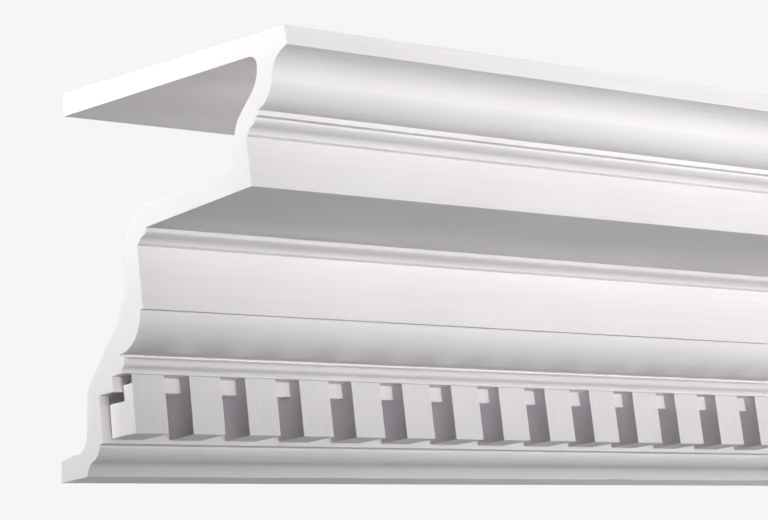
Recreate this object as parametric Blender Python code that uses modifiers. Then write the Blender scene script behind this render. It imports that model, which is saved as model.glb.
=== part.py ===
"""Dentil cornice moulding, one metre long and cut square at both ends.

A single light casting: a thin shell that meets the ceiling with a broad flange
and the wall with a narrow foot, hollow behind, with a row of dentils on its
front. Metres. X runs along the moulding, Y points to the wall, Z points up.
The origin is the middle of the face that lies against the ceiling.
"""
import bpy
import bmesh
from math import ceil, dist, radians, tan

# Overall sizes.
LENGTH = 1.000
HEIGHT = 0.250
CEILING_DEPTH = 0.251

# Every front face leans out as it falls, and every underside falls towards the wall.
FACE_LEAN = tan(radians(10.3))
UNDERSIDE_FALL = tan(radians(5.1))

# Flange and foot, the two parts that touch the building.
FLANGE_AT_WALL = 0.0151
FLANGE_AT_FRONT = 0.0123
FOOT_DEPTH = 0.0328
FOOT_HEIGHT = 0.0138
FOOT_UNDERSIDE_FALL = 0.0032

# Members of the front, from the ceiling down. A point is its distance out from the
# wall and its distance down from the ceiling. A round is its start, the corner that
# its end lines meet at, its end, and how full it is towards that corner.
TOP_FILLET_HEIGHT = 0.0114
CROWN_HOLLOW = ((0.2512, 0.0119), (0.2388, 0.0163), (0.2378, 0.0275), 1.1)
CROWN_SWELL = ((0.2377, 0.0288), (0.2366, 0.0422), (0.2239, 0.0441), 0.74)
CROWN_FILLET_HEIGHT = 0.0032
LEDGE = (0.2213, 0.0480)
LEDGE_ROUND = ((0.2213, 0.0490), (0.2212, 0.0512), (0.2172, 0.0527), 0.7)
LIP_HOLLOW = ((0.2167, 0.0529), (0.2141, 0.0540), (0.2139, 0.0569), 0.8)
CORONA = (0.2119, 0.0579)
CORONA_HEIGHT = 0.0292
SOFFIT_REAR = (0.1023, 0.0980)
SOFFIT_ROUND = ((0.1021, 0.1003), (0.1020, 0.1016), (0.0991, 0.1027), 0.8)
SOFFIT_HOLLOW = ((0.0986, 0.1029), (0.0946, 0.1043), (0.0939, 0.1069), 0.8)
FASCIA = (0.0917, 0.1081)
FASCIA_HEIGHT = 0.0391
OVOLO_STEP = 0.0033
OVOLO = ((0.0957, 0.1495), (0.0955, 0.1722), (0.0711, 0.1731), 0.72)
QUIRK = (0.0712, 0.1742)
BEAD_SWELL = ((0.0754, 0.1757), (0.0782, 0.1789), (0.0756, 0.1808), 0.95)
BEAD_HOLLOW = ((0.0752, 0.1811), (0.0738, 0.1822), (0.0742, 0.1842), 0.65)
BEAD_LIP = (0.0749, 0.1848)
BASE_TOP = (0.0475, 0.2277)
BASE_SWELL = ((0.0475, 0.2289), (0.0465, 0.2363), (0.0386, 0.2379), 0.7)
BASE_HOLLOW = ((0.0376, 0.2386), (0.0338, 0.2407), (FOOT_DEPTH, HEIGHT - FOOT_UNDERSIDE_FALL), 0.75)

# Dentils, and the gap between two of them: a set-back block closes the top of the gap,
# and the shell's own face shows below it.
DENTILS = 24
PITCH = LENGTH / DENTILS
DENTIL_WIDTH = 0.0235
FIRST_DENTIL = 0.0069
DENTIL_TOP = (0.0736, 0.1850)
DENTIL_FOOT = (0.0794, 0.2214)
DENTIL_ROOT = 0.0440
DENTIL_BURIED = 0.0018
BLOCK_SET_BACK = 0.0124
BLOCK_HEIGHT = 0.0096
RECESS_DEPTH = 0.0174
RECESS_FOOT = (0.0513, 0.2267)

# Hollow back of the shell, from the foot up.
HEEL = (0.0155, 0.2331)
HEEL_HOLLOW = ((0.0210, 0.2326), (0.0314, 0.2314), (0.0320, 0.2200), 0.75)
BEHIND_BEAD = ((0.0320, 0.1990), (0.0320, 0.1926), (0.0360, 0.1880), 0.9)
BEHIND_OVOLO = ((0.0680, 0.1544), (0.0763, 0.1455), (0.0761, 0.1330), 0.8)
BEHIND_SOFFIT = ((0.0761, 0.1100), (0.0761, 0.0848), (0.1077, 0.0828), 0.72)
BEHIND_CORONA = ((0.1860, 0.0777), (0.1982, 0.0770), (0.1983, 0.0655), 0.75)
BEHIND_LEDGE = ((0.1994, 0.0565), (0.2002, 0.0492), (0.2050, 0.0447), 0.8)
BEHIND_CROWN = ((0.2166, 0.0340), (0.2236, 0.0274), (0.2230, 0.0200), 0.8)
UNDER_FLANGE = ((0.2226, 0.0178), (0.2214, FLANGE_AT_FRONT), (0.2140, FLANGE_AT_FRONT), 0.75)

# Longest facet of a round.
FACET = 0.0018

# Moulded white plastic.
PLASTIC_COLOUR = (0.86, 0.85, 0.87, 1.0)
PLASTIC_ROUGHNESS = 0.5


def lean(top, height):
    """Lower edge of a front face that starts at top."""
    return (top[0] + height * FACE_LEAN, top[1] + height)


def fall(front, depth):
    """Back edge of an underside that starts at front."""
    return (front[0] - depth, front[1] + depth * UNDERSIDE_FALL)


def bend(start, corner, end, fullness):
    """Points of a round that leaves start and reaches end along the lines to corner."""
    steps = ceil((dist(start, corner) + dist(corner, end)) / FACET)
    points = []
    for step in range(steps + 1):
        t = step / steps
        weights = ((1 - t) ** 2, 2 * fullness * t * (1 - t), t * t)
        total = sum(weights)
        out = sum(weight * point[0] for weight, point in zip(weights, (start, corner, end)))
        down = sum(weight * point[1] for weight, point in zip(weights, (start, corner, end)))
        points.append((out / total, down / total))
    return points


def crown():
    """Top fillet, the S-shaped crown under it, its small fillet, ledge and lip."""
    top = (CEILING_DEPTH, 0.0)
    fillet_top = CROWN_SWELL[2]
    points = [top, lean(top, TOP_FILLET_HEIGHT)]
    points += bend(*CROWN_HOLLOW)
    points += bend(*CROWN_SWELL)
    points.append((fillet_top[0], fillet_top[1] + CROWN_FILLET_HEIGHT))
    points.append(LEDGE)
    points += bend(*LEDGE_ROUND)
    points += bend(*LIP_HOLLOW)
    return points


def corona_and_fascia():
    """Corona, its broad soffit, the small hollow behind it and the flat fascia."""
    corona_edge = lean(CORONA, CORONA_HEIGHT)
    fascia_edge = lean(FASCIA, FASCIA_HEIGHT)
    points = [CORONA, corona_edge, SOFFIT_REAR]
    points += bend(*SOFFIT_ROUND)
    points += bend(*SOFFIT_HOLLOW)
    points += [FASCIA, fascia_edge, fall(fascia_edge, OVOLO_STEP)]
    return points


def ovolo_and_bead():
    """Swell under the fascia, its quirk, and the bead with the lip that caps the dentils."""
    return bend(*OVOLO) + [QUIRK] + bend(*BEAD_SWELL) + bend(*BEAD_HOLLOW) + [BEAD_LIP]


def gap():
    """Front of a gap between dentils: the set-back block, then the shell below it."""
    block_top = fall(BEAD_LIP, BLOCK_SET_BACK)
    block_foot = lean(block_top, BLOCK_HEIGHT)
    return [block_top, block_foot, fall(block_foot, RECESS_DEPTH), RECESS_FOOT]


def base():
    """Small S-shaped base, and the underside of the foot down to the wall."""
    return [BASE_TOP] + bend(*BASE_SWELL) + bend(*BASE_HOLLOW) + [(0.0, HEIGHT)]


def hollow_back():
    """Inside of the shell, from the back of the foot up to the flange and the wall."""
    points = [(0.0, HEIGHT - FOOT_HEIGHT), HEEL]
    for hollow in (HEEL_HOLLOW, BEHIND_BEAD, BEHIND_OVOLO, BEHIND_SOFFIT, BEHIND_CORONA,
                   BEHIND_LEDGE, BEHIND_CROWN, UNDER_FLANGE):
        points += bend(*hollow)
    points += [(0.0, FLANGE_AT_WALL), (0.0, 0.0)]
    return points


def dentil_outline():
    """Section of one dentil, with its top and its root buried in the shell."""
    buried = DENTIL_TOP[1] - DENTIL_BURIED
    front_top = (DENTIL_TOP[0] - DENTIL_BURIED * FACE_LEAN, buried)
    root_foot = fall(DENTIL_FOOT, DENTIL_FOOT[0] - DENTIL_ROOT)
    return [front_top, DENTIL_FOOT, root_foot, (DENTIL_ROOT, buried)]


def extrude_outline(name, outline, start, width, collection):
    """Solid with the given section, running width along X from start."""
    curve = bpy.data.curves.new(name, "CURVE")
    curve.dimensions = "2D"
    curve.fill_mode = "BOTH"
    curve.extrude = width / 2
    spline = curve.splines.new("POLY")
    spline.points.add(len(outline) - 1)
    for point, (out, down) in zip(spline.points, outline):
        point.co = (CEILING_DEPTH / 2 - out, -down, 0, 1)
    spline.use_cyclic_u = True
    guide = bpy.data.objects.new(name + "_outline", curve)
    guide.rotation_euler = (radians(90), 0, radians(90))
    guide.location.x = start + width / 2 - LENGTH / 2
    collection.objects.link(guide)
    bpy.context.view_layer.update()

    evaluated = guide.evaluated_get(bpy.context.evaluated_depsgraph_get())
    mesh = bpy.data.meshes.new_from_object(evaluated)
    mesh.name = name
    weld = bmesh.new()
    weld.from_mesh(mesh)
    bmesh.ops.remove_doubles(weld, verts=weld.verts, dist=0.00001)
    bmesh.ops.recalc_face_normals(weld, faces=weld.faces)
    weld.to_mesh(mesh)
    weld.free()

    solid = bpy.data.objects.new(name, mesh)
    solid.matrix_world = guide.matrix_world
    collection.objects.link(solid)
    bpy.data.objects.remove(guide)
    return solid


def dentil_row(collection):
    """Row of equal dentils, repeated from one block, to be moulded into the shell."""
    row = extrude_outline("dentil_row", dentil_outline(), FIRST_DENTIL, DENTIL_WIDTH, collection)
    row.hide_render = True
    row.display_type = "WIRE"
    repeat = row.modifiers.new("pitch", "ARRAY")
    repeat.count = DENTILS
    repeat.use_relative_offset = False
    repeat.use_constant_offset = True
    repeat.constant_offset_displace = (0, 0, PITCH)
    return row


def moulded_plastic():
    """Plain white moulded plastic."""
    material = bpy.data.materials.new("moulded_plastic")
    material.use_nodes = True
    shader = material.node_tree.nodes["Principled BSDF"]
    shader.inputs["Base Color"].default_value = PLASTIC_COLOUR
    shader.inputs["Roughness"].default_value = PLASTIC_ROUGHNESS
    shader.inputs["Metallic"].default_value = 0.0
    return material


def cornice(parts, guides):
    """Whole moulding: the shell, with the dentils united to it."""
    section = crown() + corona_and_fascia() + ovolo_and_bead() + gap() + base() + hollow_back()
    shell = extrude_outline("cornice_moulding", section, 0.0, LENGTH, parts)
    shell.data.materials.append(moulded_plastic())
    shell.data.shade_smooth()
    shell.data.set_sharp_from_angle(angle=radians(30))
    union = shell.modifiers.new("dentils", "BOOLEAN")
    union.operation = "UNION"
    union.solver = "EXACT"
    union.object = dentil_row(guides)
    return shell


def new_collection(name):
    """Collection linked to the scene."""
    collection = bpy.data.collections.new(name)
    bpy.context.scene.collection.children.link(collection)
    return collection


for old in list(bpy.data.objects):
    bpy.data.objects.remove(old)
cornice(new_collection("cornice_moulding"), new_collection("guides"))
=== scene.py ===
"""Looks of the dentil cornice moulding: the primed casting, its cut ends, light and camera.

Metres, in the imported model's frame: X along the moulding, Y to the wall, Z up, and the
origin in the middle of the face that lies against the ceiling.
"""
from math import ceil, cos, dist, radians, sin, tan

import bmesh
import bpy
from mathutils import Matrix, Vector


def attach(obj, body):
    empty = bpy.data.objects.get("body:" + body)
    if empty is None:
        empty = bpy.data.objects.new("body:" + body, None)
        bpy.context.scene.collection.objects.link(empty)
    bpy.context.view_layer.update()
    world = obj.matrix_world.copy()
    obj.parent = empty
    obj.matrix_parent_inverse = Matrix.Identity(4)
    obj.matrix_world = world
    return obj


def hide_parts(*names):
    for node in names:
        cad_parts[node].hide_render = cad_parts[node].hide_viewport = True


# Members of the moulding. A point is its distance out from the wall and its distance
# down from the ceiling. A round is its start, the corner that its end lines meet at,
# its end, and how full it is towards that corner.
LENGTH = 1.000
HEIGHT = 0.250
CEILING_DEPTH = 0.251
FACE_LEAN = tan(radians(10.3))
UNDERSIDE_FALL = tan(radians(5.1))
FLANGE_AT_WALL = 0.0151
FLANGE_AT_FRONT = 0.0123
FOOT_DEPTH = 0.0328
FOOT_HEIGHT = 0.0138
FOOT_UNDERSIDE_FALL = 0.0032
TOP_FILLET_HEIGHT = 0.0114
CROWN_HOLLOW = ((0.2512, 0.0119), (0.2388, 0.0163), (0.2378, 0.0275), 1.1)
CROWN_SWELL = ((0.2377, 0.0288), (0.2366, 0.0422), (0.2239, 0.0441), 0.74)
CROWN_FILLET_HEIGHT = 0.0032
LEDGE = (0.2213, 0.0480)
LEDGE_ROUND = ((0.2213, 0.0490), (0.2212, 0.0512), (0.2172, 0.0527), 0.7)
LIP_HOLLOW = ((0.2167, 0.0529), (0.2141, 0.0540), (0.2139, 0.0569), 0.8)
CORONA = (0.2119, 0.0579)
CORONA_HEIGHT = 0.0292
SOFFIT_REAR = (0.1023, 0.0980)
SOFFIT_ROUND = ((0.1021, 0.1003), (0.1020, 0.1016), (0.0991, 0.1027), 0.8)
SOFFIT_HOLLOW = ((0.0986, 0.1029), (0.0946, 0.1043), (0.0939, 0.1069), 0.8)
FASCIA = (0.0917, 0.1081)
FASCIA_HEIGHT = 0.0391
OVOLO_STEP = 0.0033
OVOLO = ((0.0957, 0.1495), (0.0955, 0.1722), (0.0711, 0.1731), 0.72)
QUIRK = (0.0712, 0.1742)
BEAD_SWELL = ((0.0754, 0.1757), (0.0782, 0.1789), (0.0756, 0.1808), 0.95)
BEAD_HOLLOW = ((0.0752, 0.1811), (0.0738, 0.1822), (0.0742, 0.1842), 0.65)
BEAD_LIP = (0.0749, 0.1848)
BASE_TOP = (0.0475, 0.2277)
BASE_SWELL = ((0.0475, 0.2289), (0.0465, 0.2363), (0.0386, 0.2379), 0.7)
BASE_HOLLOW = ((0.0376, 0.2386), (0.0338, 0.2407), (FOOT_DEPTH, HEIGHT - FOOT_UNDERSIDE_FALL), 0.75)
DENTILS = 24
PITCH = LENGTH / DENTILS
DENTIL_WIDTH = 0.0235
FIRST_DENTIL = 0.0069
DENTIL_TOP = (0.0736, 0.1850)
DENTIL_FOOT = (0.0794, 0.2214)
DENTIL_ROOT = 0.0440
DENTIL_BURIED = 0.0018
BLOCK_SET_BACK = 0.0124
BLOCK_HEIGHT = 0.0096
RECESS_DEPTH = 0.0174
RECESS_FOOT = (0.0513, 0.2267)
HEEL = (0.0155, 0.2331)
HEEL_HOLLOW = ((0.0210, 0.2326), (0.0314, 0.2314), (0.0320, 0.2200), 0.75)
BEHIND_BEAD = ((0.0320, 0.1990), (0.0320, 0.1926), (0.0360, 0.1880), 0.9)
BEHIND_OVOLO = ((0.0680, 0.1544), (0.0763, 0.1455), (0.0761, 0.1330), 0.8)
BEHIND_SOFFIT = ((0.0761, 0.1100), (0.0761, 0.0848), (0.1077, 0.0828), 0.72)
BEHIND_CORONA = ((0.1860, 0.0777), (0.1982, 0.0770), (0.1983, 0.0655), 0.75)
BEHIND_LEDGE = ((0.1994, 0.0565), (0.2002, 0.0492), (0.2050, 0.0447), 0.8)
BEHIND_CROWN = ((0.2166, 0.0340), (0.2236, 0.0274), (0.2230, 0.0200), 0.8)
UNDER_FLANGE = ((0.2226, 0.0178), (0.2214, FLANGE_AT_FRONT), (0.2140, FLANGE_AT_FRONT), 0.75)

# Facets and softened arrises of the finished casting. A sawn edge stays crisper, and
# points nearer to each other than SAME_POINT are one.
FACET = 0.0007
LEAST_FACETS = 8
ARRIS = 0.0004
ARRIS_STEPS = 3
ARRIS_ANGLE = radians(24)
SAME_POINT = 0.000005
SAWN_EDGE = 0.3
SMOOTH_ANGLE = radians(35)

# Finishes, in the order of the casting's material slots.
RUN, DENTIL, BACK, SAWN = range(4)

# Primer: its two close tones, the two values of its roughness, and its relief.
PRIMER_TONES = ((0.832, 0.807, 0.829, 1), (0.765, 0.738, 0.761, 1))
PRIMER_ROUGHNESS = (0.44, 0.50)
PRIMER_RELIEF = 0.00001

# Effects in the primer. Clouds and streaks each have a share in its tone. The sprayed
# skin, an orange peel with a share of finer grain, and the streaks make its relief.
CLOUDS_PER_METRE = 11.0
CLOUD_SHARE = 0.5
CLOUD_NOISE = {"Detail": 2.0, "Roughness": 0.45}
STREAKS_PER_METRE = 320.0
STREAK_STRETCH = 40.0
STREAK_SHARE = 0.5
STREAK_RELIEF = 0.8
STREAK_NOISE = {"Scale": 1.0, "Detail": 3.0, "Roughness": 0.6}
PEEL_PER_METRE = 700.0
GRAIN_PER_METRE = 3000.0
GRAIN_SHARE = 0.25
SKIN_NOISE = {"Detail": 1.0, "Roughness": 0.5}
MIDDLE_OF_NOISE = {"From Min": 0.3, "From Max": 0.7}

# Back of the shell: thinner primer, sprayed from the edges.
BACK_TONES = ((0.800, 0.775, 0.797, 1), (0.755, 0.730, 0.750, 1))
BACK_ROUGHNESS = (0.52, 0.62)
BACK_RELIEF = 0.00003

# Sawn foam: its two close tones, its roughness, its relief, and its clouds and cells.
# The radius of an opened cell is a share of its pitch.
FOAM_TONES = ((0.835, 0.812, 0.833, 1), (0.795, 0.770, 0.790, 1))
FOAM_ROUGHNESS = (0.62, 0.75)
FOAM_RELIEF = 0.00002
FOAM_CLOUDS_PER_METRE = 33.0
CELLS_PER_METRE = 1900.0
CELL_RADIUS = 0.5

# Camera: where it stands, how it is turned, and its lens.
CAMERA_PLACE = Vector((-1.2275, -1.1801, -0.2798))
CAMERA_AZIMUTH = -37.02
CAMERA_ELEVATION = -6.54
CAMERA_ROLL = -0.58
SENSOR_WIDTH = 36.0
LENS = 109.35
SEES_AS_FAR_AS = 100.0

# Small lamp at the left end: where it stands, its power in watts and its radius.
KEY_PLACE = (-1.10, 0.21, 0.30)
KEY_POWER = 30.2
KEY_RADIUS = 0.015

# Soft boxes that face the moulding, all of one size: where each hangs, its power, the
# degrees over which its grid spreads the light, its tilt from straight down and its turn
# to the left.
SOFT_BOXES = {
    "upper_box": ((0.0, -1.60, 0.05), 1.95, 24, 90, 0),
    "lower_box": ((0.6, -1.60, -0.25), 3.8, 50, 90, 0),
    "under_box": ((0.3, 0.42, -1.81), 0.47, 24, 195, 0),
    "rear_box": ((0.3, 1.07, -1.47), 0.35, 24, 220, 0),
    "top_box": ((0.0, 0.0, 1.60), 1.5, 24, 0, 0),
    "back_box": ((0.9, 1.45, -1.00), 5.0, 50, 120, 180),
    "right_box": ((2.1, 0.15, -0.12), 1.5, 12, 90, 90),
}
BOX_WIDTH = 2.4
BOX_HEIGHT = 0.25

# Surroundings. The floor is as far down as a hall's, and throws no light back.
WHITE = (1, 1, 1, 1)
BACKDROP = 0.92
EVEN_LIGHT = 0.01
FLOOR_DROP = 5.2
FLOOR_RADIUS = 60.0
FLOOR_SIDES = 96
FLOOR_TONE = (0.90, 0.90, 0.90, 1)
FLOOR_ROUGHNESS = 0.9
FLOOR_GLOW = 0.85


def lean(top, height):
    """Lower edge of a front face that starts at top."""
    return (top[0] + height * FACE_LEAN, top[1] + height)


def fall(front, depth):
    """Back edge of an underside that starts at front."""
    return (front[0] - depth, front[1] + depth * UNDERSIDE_FALL)


def bend(start, corner, end, fullness):
    """Points of a round that leaves start and reaches end along the lines to corner."""
    steps = max(LEAST_FACETS, ceil((dist(start, corner) + dist(corner, end)) / FACET))
    points = []
    for step in range(steps + 1):
        t = step / steps
        weights = ((1 - t) ** 2, 2 * fullness * t * (1 - t), t * t)
        total = sum(weights)
        out = sum(weight * point[0] for weight, point in zip(weights, (start, corner, end)))
        down = sum(weight * point[1] for weight, point in zip(weights, (start, corner, end)))
        points.append((out / total, down / total))
    return points


def crown():
    """Top fillet, the S-shaped crown under it, its small fillet, ledge and lip."""
    top = (CEILING_DEPTH, 0.0)
    fillet_top = CROWN_SWELL[2]
    points = [top, lean(top, TOP_FILLET_HEIGHT)]
    points += bend(*CROWN_HOLLOW)
    points += bend(*CROWN_SWELL)
    points.append((fillet_top[0], fillet_top[1] + CROWN_FILLET_HEIGHT))
    points.append(LEDGE)
    points += bend(*LEDGE_ROUND)
    points += bend(*LIP_HOLLOW)
    return points


def corona_and_fascia():
    """Corona, its broad soffit, the small hollow behind it and the flat fascia."""
    corona_edge = lean(CORONA, CORONA_HEIGHT)
    fascia_edge = lean(FASCIA, FASCIA_HEIGHT)
    points = [CORONA, corona_edge, SOFFIT_REAR]
    points += bend(*SOFFIT_ROUND)
    points += bend(*SOFFIT_HOLLOW)
    points += [FASCIA, fascia_edge, fall(fascia_edge, OVOLO_STEP)]
    return points


def ovolo_and_bead():
    """Swell under the fascia, its quirk, and the bead with the lip that caps the dentils."""
    return bend(*OVOLO) + [QUIRK] + bend(*BEAD_SWELL) + bend(*BEAD_HOLLOW) + [BEAD_LIP]


def gap():
    """Front of a gap between dentils: the set-back block, then the shell below it."""
    block_top = fall(BEAD_LIP, BLOCK_SET_BACK)
    block_foot = lean(block_top, BLOCK_HEIGHT)
    return [block_top, block_foot, fall(block_foot, RECESS_DEPTH), RECESS_FOOT]


def base():
    """Small S-shaped base, and the underside of the foot down to the wall."""
    return [BASE_TOP] + bend(*BASE_SWELL) + bend(*BASE_HOLLOW) + [(0.0, HEIGHT)]


def hollow_back():
    """Inside of the shell, from the back of the foot up to the flange and the wall."""
    points = [(0.0, HEIGHT - FOOT_HEIGHT), HEEL]
    for hollow in (HEEL_HOLLOW, BEHIND_BEAD, BEHIND_OVOLO, BEHIND_SOFFIT, BEHIND_CORONA,
                   BEHIND_LEDGE, BEHIND_CROWN, UNDER_FLANGE):
        points += bend(*hollow)
    points += [(0.0, FLANGE_AT_WALL), (0.0, 0.0)]
    return points


def dentil_outline():
    """Section of one dentil, with its top and its root buried in the shell."""
    buried = DENTIL_TOP[1] - DENTIL_BURIED
    front_top = (DENTIL_TOP[0] - DENTIL_BURIED * FACE_LEAN, buried)
    root_foot = fall(DENTIL_FOOT, DENTIL_FOOT[0] - DENTIL_ROOT)
    return [front_top, DENTIL_FOOT, root_foot, (DENTIL_ROOT, buried)]


def place(out, down, along):
    """Point of the frame for a place in the section and a distance from the left end."""
    return Vector((along - LENGTH / 2, CEILING_DEPTH / 2 - out, -down))


def prism(name, outline, side_finishes, end_finish, spans):
    """Section run along each (start, end) span, with the finish of each of its faces."""
    mesh = bmesh.new()
    for start, end in spans:
        near, far = [[mesh.verts.new(place(out, down, along)) for out, down in outline]
                     for along in (start, end)]
        for ring in (near, far):
            mesh.faces.new(ring).material_index = end_finish
        for index, side_finish in enumerate(side_finishes):
            after = (index + 1) % len(outline)
            face = mesh.faces.new((near[index], far[index], far[after], near[after]))
            face.material_index = side_finish
    bmesh.ops.recalc_face_normals(mesh, faces=mesh.faces)
    data = bpy.data.meshes.new(name)
    mesh.to_mesh(data)
    mesh.free()
    solid = bpy.data.objects.new(name, data)
    bpy.context.scene.collection.objects.link(solid)
    return solid


def use_modifiers(solid):
    """Applies the object's modifiers to its mesh."""
    bpy.context.view_layer.update()
    evaluated = solid.evaluated_get(bpy.context.evaluated_depsgraph_get())
    finished = bpy.data.meshes.new_from_object(evaluated)
    solid.modifiers.clear()
    solid.data = finished
    finished.name = solid.name


def shell():
    """Moulded shell without its dentils: finished front, plainer back and sawn ends."""
    front = crown() + corona_and_fascia() + ovolo_and_bead() + gap() + base()
    back = hollow_back()
    side_finishes = [RUN] * (len(front) - 1) + [BACK] * (len(back) + 1)
    return prism("primed_casting", front + back, side_finishes, SAWN, [(0.0, LENGTH)])


def dentil_row():
    """Row of equal dentils, a pitch apart."""
    outline = dentil_outline()
    starts = [FIRST_DENTIL + PITCH * number for number in range(DENTILS)]
    spans = [(start, start + DENTIL_WIDTH) for start in starts]
    return prism("dentil_row", outline, [DENTIL] * len(outline), DENTIL, spans)


def weigh_arrises(data):
    """Marks each sharp edge with its share of the rounding."""
    mesh = bmesh.new()
    mesh.from_mesh(data)
    weight = mesh.edges.layers.float.new("bevel_weight_edge")
    for edge in mesh.edges:
        if len(edge.link_faces) == 2 and edge.calc_face_angle() > ARRIS_ANGLE:
            sawn = any(face.material_index == SAWN for face in edge.link_faces)
            edge[weight] = SAWN_EDGE if sawn else 1.0
    mesh.to_mesh(data)
    mesh.free()


def join_dentils(solid):
    """Makes the row of dentils one with the shell."""
    row = dentil_row()
    union = solid.modifiers.new("dentils", "BOOLEAN")
    union.operation = "UNION"
    union.solver = "EXACT"
    union.object = row
    use_modifiers(solid)
    bpy.data.objects.remove(row)


def soften_arrises(solid):
    """Rounds the sharp edges, and welds the points that come together there."""
    weigh_arrises(solid.data)
    soften = solid.modifiers.new("arrises", "BEVEL")
    soften.width = ARRIS
    soften.segments = ARRIS_STEPS
    soften.limit_method = "WEIGHT"
    weld = solid.modifiers.new("weld", "WELD")
    weld.merge_threshold = SAME_POINT
    use_modifiers(solid)


def shade(solid):
    """Shades the rounds smooth and keeps the flat faces flat."""
    solid.data.shade_smooth()
    solid.data.set_sharp_from_angle(angle=SMOOTH_ANGLE)
    flats = solid.modifiers.new("flats", "WEIGHTED_NORMAL")
    flats.keep_sharp = True
    use_modifiers(solid)


def casting(materials):
    """Whole moulding in one piece, with its dentils, softened arrises and finishes."""
    solid = shell()
    for material in materials:
        solid.data.materials.append(material)
    join_dentils(solid)
    soften_arrises(solid)
    shade(solid)
    return solid


def add(tree, kind, values=(), **settings):
    """New node of the kind, with its settings and the values of its inputs."""
    node = tree.nodes.new(kind)
    for name, value in settings.items():
        setattr(node, name, value)
    for name, value in dict(values).items():
        node.inputs[name].default_value = value
    return node


def effect(name, inputs, output):
    """Empty effect group with named number inputs and one output, and its two ends."""
    tree = bpy.data.node_groups.new(name, "ShaderNodeTree")
    for label, value in inputs.items():
        socket = tree.interface.new_socket(name=label, in_out="INPUT", socket_type="NodeSocketFloat")
        socket.default_value = value
    tree.interface.new_socket(name=output, in_out="OUTPUT", socket_type="NodeSocketFloat")
    return tree, tree.nodes.new("NodeGroupInput"), tree.nodes.new("NodeGroupOutput")


def spread_to(tree, value, end):
    """Spreads the middle of a noise over 0 to 1 and sends it out of the group."""
    spread = add(tree, "ShaderNodeMapRange", MIDDLE_OF_NOISE)
    tree.links.new(value, spread.inputs["Value"])
    tree.links.new(spread.outputs["Result"], end.inputs[0])


def streak_counts(along=None):
    """Streaks per metre on each axis, with few on the axis that they are drawn along."""
    counts = {"Per Metre " + axis: STREAKS_PER_METRE for axis in "XYZ"}
    if along:
        counts["Per Metre " + along] /= STREAK_STRETCH
    return counts


def drawn_streaks():
    """Faint streaks from the tool that drew the master pattern's faces."""
    tree, start, end = effect("drawn_streaks", streak_counts(), "Streak")
    where = add(tree, "ShaderNodeTexCoord")
    scale = add(tree, "ShaderNodeCombineXYZ")
    scaled = add(tree, "ShaderNodeVectorMath", operation="MULTIPLY")
    noise = add(tree, "ShaderNodeTexNoise", STREAK_NOISE)
    for axis in "XYZ":
        tree.links.new(start.outputs["Per Metre " + axis], scale.inputs[axis])
    tree.links.new(where.outputs["Object"], scaled.inputs[0])
    tree.links.new(scale.outputs["Vector"], scaled.inputs[1])
    tree.links.new(scaled.outputs["Vector"], noise.inputs["Vector"])
    spread_to(tree, noise.outputs["Fac"], end)
    return tree


def soft_cloud():
    """Slow change of tone where the coat lies thicker or thinner."""
    tree, start, end = effect("soft_cloud", {"Per Metre": CLOUDS_PER_METRE}, "Cloud")
    where = add(tree, "ShaderNodeTexCoord")
    noise = add(tree, "ShaderNodeTexNoise", CLOUD_NOISE)
    tree.links.new(where.outputs["Object"], noise.inputs["Vector"])
    tree.links.new(start.outputs["Per Metre"], noise.inputs["Scale"])
    spread_to(tree, noise.outputs["Fac"], end)
    return tree


def sprayed_skin():
    """Height of a sprayed coat: a low orange peel with a finer grain on it."""
    amounts = {"Peel per Metre": PEEL_PER_METRE, "Grain per Metre": GRAIN_PER_METRE,
               "Grain Share": GRAIN_SHARE}
    tree, start, end = effect("sprayed_skin", amounts, "Height")
    where = add(tree, "ShaderNodeTexCoord")
    both = add(tree, "ShaderNodeMath", operation="MULTIPLY_ADD")
    for label, slot in (("Grain per Metre", 0), ("Peel per Metre", 2)):
        noise = add(tree, "ShaderNodeTexNoise", SKIN_NOISE)
        tree.links.new(where.outputs["Object"], noise.inputs["Vector"])
        tree.links.new(start.outputs[label], noise.inputs["Scale"])
        tree.links.new(noise.outputs["Fac"], both.inputs[slot])
    tree.links.new(start.outputs["Grain Share"], both.inputs[1])
    tree.links.new(both.outputs["Value"], end.inputs["Height"])
    return tree


def cut_cells():
    """Height of sawn foam: each closed cell that the blade opened is a tiny cup."""
    tree, start, end = effect("cut_cells", {"Cells per Metre": CELLS_PER_METRE}, "Height")
    where = add(tree, "ShaderNodeTexCoord")
    cells = add(tree, "ShaderNodeTexVoronoi", feature="F1")
    cup = add(tree, "ShaderNodeMapRange", {"From Min": 0.0, "From Max": CELL_RADIUS})
    tree.links.new(where.outputs["Object"], cells.inputs["Vector"])
    tree.links.new(start.outputs["Cells per Metre"], cells.inputs["Scale"])
    tree.links.new(cells.outputs["Distance"], cup.inputs["Value"])
    tree.links.new(cup.outputs["Result"], end.inputs["Height"])
    return tree


def use(tree, group, values=()):
    """Output of an effect group placed among a material's nodes, with its values."""
    return add(tree, "ShaderNodeGroup", values, node_tree=group).outputs[0]


def part_of(tree, value, share):
    """Share of a value."""
    part = add(tree, "ShaderNodeMath", {1: share}, operation="MULTIPLY")
    tree.links.new(value, part.inputs[0])
    return part.outputs["Value"]


def blend(tree, first, second, share):
    """Value that adds a share of the second socket to the first."""
    total = add(tree, "ShaderNodeMath", {1: share}, operation="MULTIPLY_ADD")
    tree.links.new(second, total.inputs[0])
    tree.links.new(first, total.inputs[2])
    return total.outputs["Value"]


def blank(name):
    """New material, and its tree of nodes."""
    material = bpy.data.materials.new(name)
    material.use_nodes = True
    return material, material.node_tree


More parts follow.
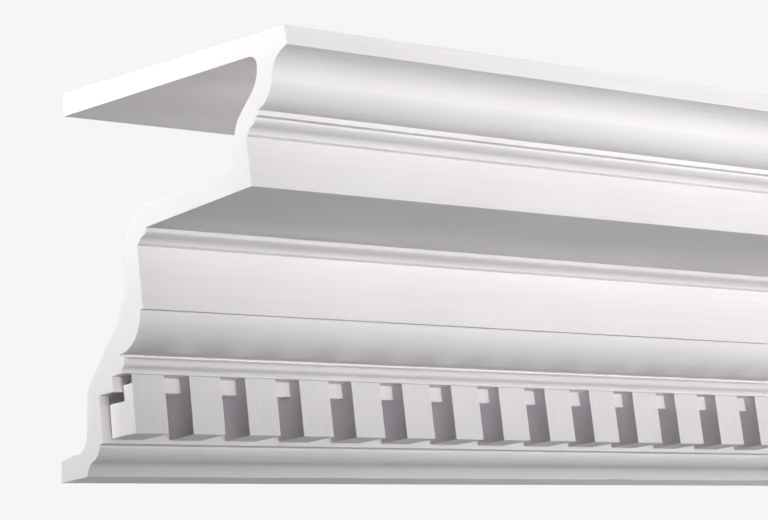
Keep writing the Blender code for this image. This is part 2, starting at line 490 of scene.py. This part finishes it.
def lead(tree, mask, height, coat):
    """Tone and roughness of the coat follow the mask from 0 to 1, and its relief the height."""
    tones, roughness, relief = coat
    shader = tree.nodes["Principled BSDF"]
    tone = add(tree, "ShaderNodeValToRGB")
    for stop, colour in zip(tone.color_ramp.elements, tones):
        stop.color = colour
    rough = add(tree, "ShaderNodeMapRange", {"To Min": roughness[0], "To Max": roughness[1]})
    bump = add(tree, "ShaderNodeBump", {"Strength": 1.0, "Distance": relief})
    tree.links.new(mask, tone.inputs["Fac"])
    tree.links.new(mask, rough.inputs["Value"])
    tree.links.new(height, bump.inputs["Height"])
    tree.links.new(tone.outputs["Color"], shader.inputs["Base Color"])
    tree.links.new(rough.outputs["Result"], shader.inputs["Roughness"])
    tree.links.new(bump.outputs["Normal"], shader.inputs["Normal"])


def primer(name, effects, along, coat):
    """Sprayed primer, with its faint streaks drawn along one axis."""
    material, tree = blank(name)
    streak = use(tree, effects["streaks"], streak_counts(along))
    cloud = part_of(tree, use(tree, effects["cloud"]), CLOUD_SHARE)
    skin = use(tree, effects["skin"])
    mask = blend(tree, cloud, streak, STREAK_SHARE)
    height = blend(tree, skin, streak, STREAK_RELIEF)
    lead(tree, mask, height, coat)
    return material


def sawn_foam(effects):
    """Square-sawn end: bare dense foam with opened cells."""
    material, tree = blank("sawn_foam")
    cloud = use(tree, effects["cloud"], {"Per Metre": FOAM_CLOUDS_PER_METRE})
    cells = use(tree, effects["cells"])
    lead(tree, cloud, cells, (FOAM_TONES, FOAM_ROUGHNESS, FOAM_RELIEF))
    return material


def finishes():
    """The casting's four materials, in the order of its slots."""
    effects = {"streaks": drawn_streaks(), "cloud": soft_cloud(), "skin": sprayed_skin(),
               "cells": cut_cells()}
    front_coat = (PRIMER_TONES, PRIMER_ROUGHNESS, PRIMER_RELIEF)
    back_coat = (BACK_TONES, BACK_ROUGHNESS, BACK_RELIEF)
    return [primer("primer_along_run", effects, "X", front_coat),
            primer("primer_on_dentils", effects, "Z", front_coat),
            primer("primer_on_back", effects, "X", back_coat),
            sawn_foam(effects)]


def aim(azimuth, elevation, roll):
    """Turn of a camera that stands at an azimuth and elevation, with a roll, in degrees."""
    a, e = radians(azimuth), radians(elevation)
    back = Vector((sin(a) * cos(e), -cos(a) * cos(e), sin(e)))
    level = (-back).to_track_quat("-Z", "Y").to_matrix().to_4x4()
    return level @ Matrix.Rotation(radians(roll), 4, "Z")


def camera():
    """Camera at the place and angle of the photograph."""
    data = bpy.data.cameras.new("camera")
    data.sensor_width = SENSOR_WIDTH
    data.lens = LENS
    data.clip_end = SEES_AS_FAR_AS
    eye = bpy.data.objects.new("camera", data)
    turn = aim(CAMERA_AZIMUTH, CAMERA_ELEVATION, CAMERA_ROLL)
    eye.matrix_world = Matrix.Translation(CAMERA_PLACE) @ turn
    bpy.context.scene.collection.objects.link(eye)
    bpy.context.scene.camera = eye


def hang(name, data, spot, power):
    """Light at a spot, in metres, with its power in watts. The camera doesn't see it."""
    data.energy = power
    light = bpy.data.objects.new(name, data)
    light.location = spot
    light.visible_camera = False
    bpy.context.scene.collection.objects.link(light)
    return light


def key_lamp():
    """Small bright lamp that lights the cut end and throws the crisp shadows."""
    data = bpy.data.lights.new("key_lamp", "POINT")
    data.shadow_soft_size = KEY_RADIUS
    hang("key_lamp", data, KEY_PLACE, KEY_POWER)


def soft_boxes():
    """Wide boxes on every side, with grids that keep their light straight."""
    for name, (spot, power, spread, tilt, turn) in SOFT_BOXES.items():
        data = bpy.data.lights.new(name, "AREA")
        data.shape = "RECTANGLE"
        data.size = BOX_WIDTH
        data.size_y = BOX_HEIGHT
        data.spread = radians(spread)
        box = hang(name, data, spot, power)
        box.rotation_euler = (radians(tilt), 0, radians(turn))


def studio():
    """White surroundings that the camera sees, and a weaker even light from them."""
    world = bpy.data.worlds.new("white_studio")
    world.use_nodes = True
    tree = world.node_tree
    even = tree.nodes["Background"]
    even.inputs["Color"].default_value = WHITE
    even.inputs["Strength"].default_value = EVEN_LIGHT
    seen = add(tree, "ShaderNodeBackground", {"Color": WHITE, "Strength": BACKDROP})
    path = add(tree, "ShaderNodeLightPath")
    mix = add(tree, "ShaderNodeMixShader")
    tree.links.new(path.outputs["Is Camera Ray"], mix.inputs["Fac"])
    tree.links.new(even.outputs["Background"], mix.inputs[1])
    tree.links.new(seen.outputs["Background"], mix.inputs[2])
    tree.links.new(mix.outputs["Shader"], tree.nodes["World Output"].inputs["Surface"])
    bpy.context.scene.world = world
    bpy.context.scene.view_settings.view_transform = "Standard"


def floor():
    """Plain pale floor far below, wide enough to fill a view from above."""
    mesh = bmesh.new()
    bmesh.ops.create_circle(mesh, cap_ends=True, segments=FLOOR_SIDES, radius=FLOOR_RADIUS,
                            matrix=Matrix.Translation((0, 0, -FLOOR_DROP)))
    data = bpy.data.meshes.new("pale_floor")
    mesh.to_mesh(data)
    mesh.free()
    material = bpy.data.materials.new("pale_floor")
    material.use_nodes = True
    shader = material.node_tree.nodes["Principled BSDF"]
    shader.inputs["Base Color"].default_value = FLOOR_TONE
    shader.inputs["Roughness"].default_value = FLOOR_ROUGHNESS
    shader.inputs["Emission Color"].default_value = FLOOR_TONE
    shader.inputs["Emission Strength"].default_value = FLOOR_GLOW
    data.materials.append(material)
    ground = bpy.data.objects.new("pale_floor", data)
    ground.visible_diffuse = False
    ground.visible_glossy = False
    ground.visible_shadow = False
    bpy.context.scene.collection.objects.link(ground)


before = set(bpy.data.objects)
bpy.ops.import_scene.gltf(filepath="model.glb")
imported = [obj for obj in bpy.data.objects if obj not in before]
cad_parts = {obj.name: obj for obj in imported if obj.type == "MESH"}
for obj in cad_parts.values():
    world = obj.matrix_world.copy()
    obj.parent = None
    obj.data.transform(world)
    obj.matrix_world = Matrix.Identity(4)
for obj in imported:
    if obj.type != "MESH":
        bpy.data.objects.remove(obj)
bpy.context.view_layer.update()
camera()
moulding = casting(finishes())
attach(moulding, "root")
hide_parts("cornice_moulding")
floor()
key_lamp()
soft_boxes()
studio()
